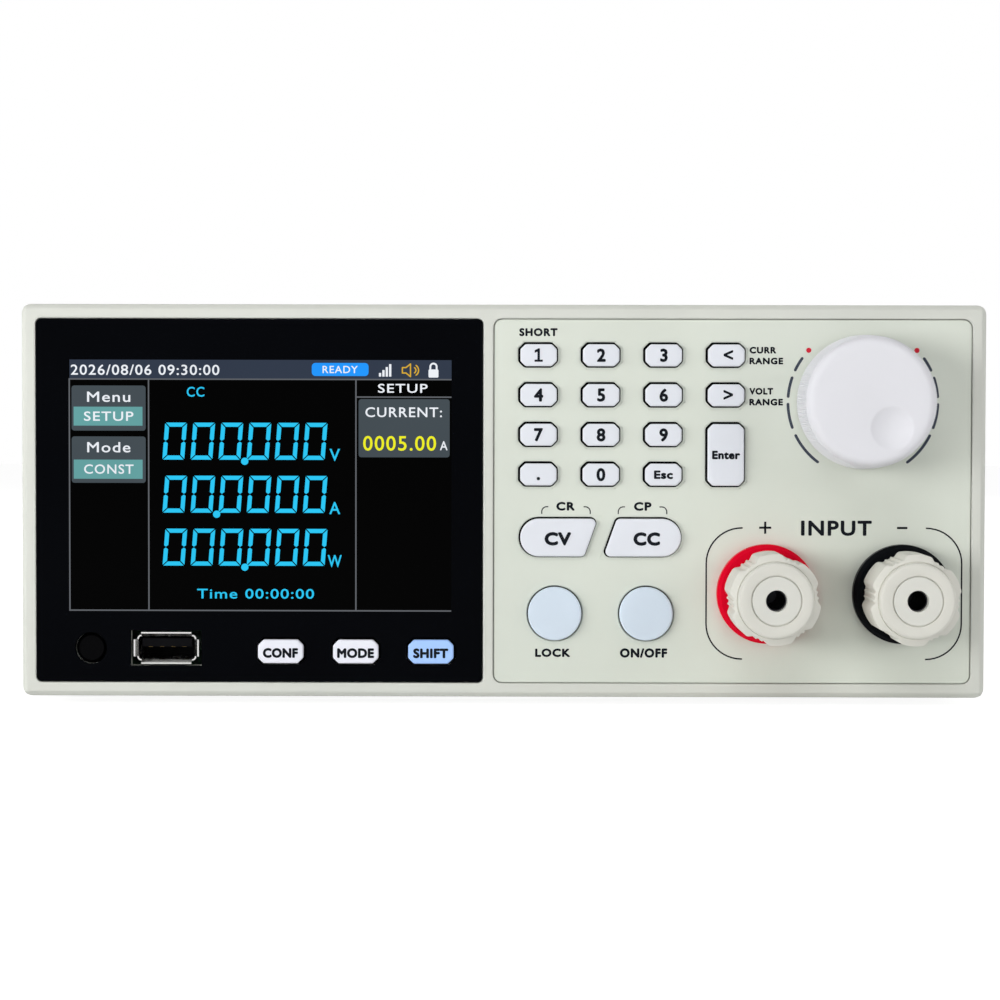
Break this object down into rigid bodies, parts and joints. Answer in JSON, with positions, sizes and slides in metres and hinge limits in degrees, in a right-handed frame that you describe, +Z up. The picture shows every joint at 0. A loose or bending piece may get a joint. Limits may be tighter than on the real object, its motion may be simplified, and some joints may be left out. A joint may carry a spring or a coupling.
{
  "type": "dc electronic load",
  "caption": "Half-rack bench DC electronic load: steel case, moulded front with lit display window, keypad, adjustment knob and screw-down input posts.",
  "frame": {"origin": "on the bench, under the middle of the instrument's outline", "axes": "+Z up, the front panel faces -Y, +X to the right seen from the front"},
  "size_m": [0.214, 0.32, 0.0892],
  "materials": {
    "bezel_plastic": "pale warm grey moulded plastic, fine matt texture",
    "overlay_film": "pale grey-green printed panel, satin",
    "window_acrylic": "back-printed black acrylic, polished",
    "display_frame": "folded display frame",
    "board_green": "solder-masked circuit board",
    "black_plastic": "black moulded plastic",
    "bright_steel": "nickel-plated steel",
    "encoder_metal": "plain metal",
    "knob_plastic": "cool white moulded plastic, knurled side",
    "collar_red": "red moulded plastic, satin",
    "collar_black": "black moulded plastic, satin",
    "stud_brass": "turned brass",
    "cap_ivory": "ivory moulded plastic, fluted",
    "tray_steel": "zinc-plated sheet steel",
    "case_paint": "pale grey powder coat",
    "foot_rubber": "black rubber",
    "screw_steel": "plated cross-recess screws",
    "port_metal": "plated connector shells and green terminal block",
    "sink_aluminium": "extruded aluminium",
    "transistor_black": "moulded transistor bodies",
    "core_steel": "varnished transformer core",
    "busbar_copper": "plain copper strip",
    "ribbon_grey": "grey flat cable",
    "key_plastic": "cool white keys, satin",
    "key_lit": "pale blue translucent keys",
    "key_blue": "menu key lit blue"
  },
  "bodies": {
    "instrument": {"front_bezel": "bezel_plastic", "keypad_overlay": "overlay_film", "display_window": "window_acrylic", "lcd_module": "display_frame", "front_board": "board_green", "switch_bodies": "black_plastic", "usb_shell": "bright_steel", "usb_tongue": "black_plastic", "encoder_body": "encoder_metal", "post_collar_plus": "collar_red", "post_collar_minus": "collar_black", "post_studs": "stud_brass", "post_inserts": "cap_ivory", "post_nuts": "bright_steel", "chassis": "tray_steel", "top_cover": "case_paint", "rear_panel": "case_paint", "feet": "foot_rubber", "screws": "screw_steel", "fan_frame": "black_plastic", "mains_inlet": "black_plastic", "interface_ports": "port_metal", "main_board": "board_green", "heat_sink": "sink_aluminium", "power_transistors": "transistor_black", "aux_supply": "core_steel", "input_busbars": "busbar_copper", "ribbon_cable": "ribbon_grey"},
    "key_1": {"key_1": "key_plastic"},
    "key_2": {"key_2": "key_plastic"},
    "key_3": {"key_3": "key_plastic"},
    "key_left": {"key_left": "key_plastic"},
    "key_4": {"key_4": "key_plastic"},
    "key_5": {"key_5": "key_plastic"},
    "key_6": {"key_6": "key_plastic"},
    "key_right": {"key_right": "key_plastic"},
    "key_7": {"key_7": "key_plastic"},
    "key_8": {"key_8": "key_plastic"},
    "key_9": {"key_9": "key_plastic"},
    "key_dot": {"key_dot": "key_plastic"},
    "key_0": {"key_0": "key_plastic"},
    "key_esc": {"key_esc": "key_plastic"},
    "key_enter": {"key_enter": "key_plastic"},
    "key_cv": {"key_cv": "key_plastic"},
    "key_cc": {"key_cc": "key_plastic"},
    "key_lock": {"key_lock": "key_lit"},
    "key_on_off": {"key_on_off": "key_lit"},
    "key_conf": {"key_conf": "key_plastic"},
    "key_mode": {"key_mode": "key_plastic"},
    "key_shift": {"key_shift": "key_blue"},
    "power_button": {"power_button": "black_plastic"},
    "knob_carrier": {"encoder_plunger": "black_plastic"},
    "knob": {"knob": "knob_plastic", "encoder_shaft": "encoder_metal"},
    "plus_ring": {"post_ring_plus": "bright_steel"},
    "plus_cap": {"post_cap_plus": "cap_ivory"},
    "minus_ring": {"post_ring_minus": "bright_steel"},
    "minus_cap": {"post_cap_minus": "cap_ivory"},
    "fan_rotor": {"fan_rotor": "black_plastic"},
    "fuse_drawer": {"fuse_drawer": "black_plastic"}
  },
  "joints": [
    {"name": "key_1_press", "type": "slide", "parent": "instrument", "child": "key_1", "axis": [0, 1, 0], "range_m": [0, 0.0006], "stiffness_N_per_m": 300},
    {"name": "key_2_press", "type": "slide", "parent": "instrument", "child": "key_2", "axis": [0, 1, 0], "range_m": [0, 0.0006], "stiffness_N_per_m": 300},
    {"name": "key_3_press", "type": "slide", "parent": "instrument", "child": "key_3", "axis": [0, 1, 0], "range_m": [0, 0.0006], "stiffness_N_per_m": 300},
    {"name": "key_left_press", "type": "slide", "parent": "instrument", "child": "key_left", "axis": [0, 1, 0], "range_m": [0, 0.0006], "stiffness_N_per_m": 300},
    {"name": "key_4_press", "type": "slide", "parent": "instrument", "child": "key_4", "axis": [0, 1, 0], "range_m": [0, 0.0006], "stiffness_N_per_m": 300},
    {"name": "key_5_press", "type": "slide", "parent": "instrument", "child": "key_5", "axis": [0, 1, 0], "range_m": [0, 0.0006], "stiffness_N_per_m": 300},
    {"name": "key_6_press", "type": "slide", "parent": "instrument", "child": "key_6", "axis": [0, 1, 0], "range_m": [0, 0.0006], "stiffness_N_per_m": 300},
    {"name": "key_right_press", "type": "slide", "parent": "instrument", "child": "key_right", "axis": [0, 1, 0], "range_m": [0, 0.0006], "stiffness_N_per_m": 300},
    {"name": "key_7_press", "type": "slide", "parent": "instrument", "child": "key_7", "axis": [0, 1, 0], "range_m": [0, 0.0006], "stiffness_N_per_m": 300},
    {"name": "key_8_press", "type": "slide", "parent": "instrument", "child": "key_8", "axis": [0, 1, 0], "range_m": [0, 0.0006], "stiffness_N_per_m": 300},
    {"name": "key_9_press", "type": "slide", "parent": "instrument", "child": "key_9", "axis": [0, 1, 0], "range_m": [0, 0.0006], "stiffness_N_per_m": 300},
    {"name": "key_dot_press", "type": "slide", "parent": "instrument", "child": "key_dot", "axis": [0, 1, 0], "range_m": [0, 0.0006], "stiffness_N_per_m": 300},
    {"name": "key_0_press", "type": "slide", "parent": "instrument", "child": "key_0", "axis": [0, 1, 0], "range_m": [0, 0.0006], "stiffness_N_per_m": 300},
    {"name": "key_esc_press", "type": "slide", "parent": "instrument", "child": "key_esc", "axis": [0, 1, 0], "range_m": [0, 0.0006], "stiffness_N_per_m": 300},
    {"name": "key_enter_press", "type": "slide", "parent": "instrument", "child": "key_enter", "axis": [0, 1, 0], "range_m": [0, 0.0006], "stiffness_N_per_m": 300},
    {"name": "key_cv_press", "type": "slide", "parent": "instrument", "child": "key_cv", "axis": [0, 1, 0], "range_m": [0, 0.0006], "stiffness_N_per_m": 300},
    {"name": "key_cc_press", "type": "slide", "parent": "instrument", "child": "key_cc", "axis": [0, 1, 0], "range_m": [0, 0.0006], "stiffness_N_per_m": 300},
    {"name": "key_lock_press", "type": "slide", "parent": "instrument", "child": "key_lock", "axis": [0, 1, 0], "range_m": [0, 0.0006], "stiffness_N_per_m": 300},
    {"name": "key_on_off_press", "type": "slide", "parent": "instrument", "child": "key_on_off", "axis": [0, 1, 0], "range_m": [0, 0.0006], "stiffness_N_per_m": 300},
    {"name": "key_conf_press", "type": "slide", "parent": "instrument", "child": "key_conf", "axis": [0, 1, 0], "range_m": [0, 0.0006], "stiffness_N_per_m": 300},
    {"name": "key_mode_press", "type": "slide", "parent": "instrument", "child": "key_mode", "axis": [0, 1, 0], "range_m": [0, 0.0006], "stiffness_N_per_m": 300},
    {"name": "key_shift_press", "type": "slide", "parent": "instrument", "child": "key_shift", "axis": [0, 1, 0], "range_m": [0, 0.0006], "stiffness_N_per_m": 300},
    {"name": "power_latch", "type": "slide", "parent": "instrument", "child": "power_button", "axis": [0, -1, 0], "range_m": [-0.0004, 0.0025]},
    {"name": "knob_push", "type": "slide", "parent": "instrument", "child": "knob_carrier", "axis": [0, 1, 0], "range_m": [0, 0.0005], "stiffness_N_per_m": 2000},
    {"name": "knob_turn", "type": "hinge", "parent": "knob_carrier", "child": "knob", "pos_m": [0.0797, -0.144, 0.06775], "axis": [0, -1, 0], "continuous": true},
    {"name": "plus_cap_rise", "type": "slide", "parent": "instrument", "child": "plus_ring", "axis": [0, -1, 0], "range_m": [0, 0.003]},
    {"name": "plus_cap_turn", "type": "hinge", "parent": "plus_ring", "child": "plus_cap", "pos_m": [0.0584, -0.15, 0.0252], "axis": [0, -1, 0], "range_deg": [0, 1081]},
    {"name": "minus_cap_rise", "type": "slide", "parent": "instrument", "child": "minus_ring", "axis": [0, -1, 0], "range_m": [0, 0.003]},
    {"name": "minus_cap_turn", "type": "hinge", "parent": "minus_ring", "child": "minus_cap", "pos_m": [0.0885, -0.15, 0.0252], "axis": [0, -1, 0], "range_deg": [0, 1081]},
    {"name": "fan_spin", "type": "hinge", "parent": "instrument", "child": "fan_rotor", "pos_m": [0.052, 0.14, 0.0453], "axis": [0, 1, 0], "continuous": true},
    {"name": "fuse_drawer_slide", "type": "slide", "parent": "instrument", "child": "fuse_drawer", "axis": [0, 1, 0], "range_m": [0, 0.02]}
  ],
  "couplings": [
    {"joint": "plus_cap_turn", "follows": "plus_cap_rise", "rad_per_m": 6283.2},
    {"joint": "minus_cap_turn", "follows": "minus_cap_rise", "rad_per_m": 6283.2}
  ]
}
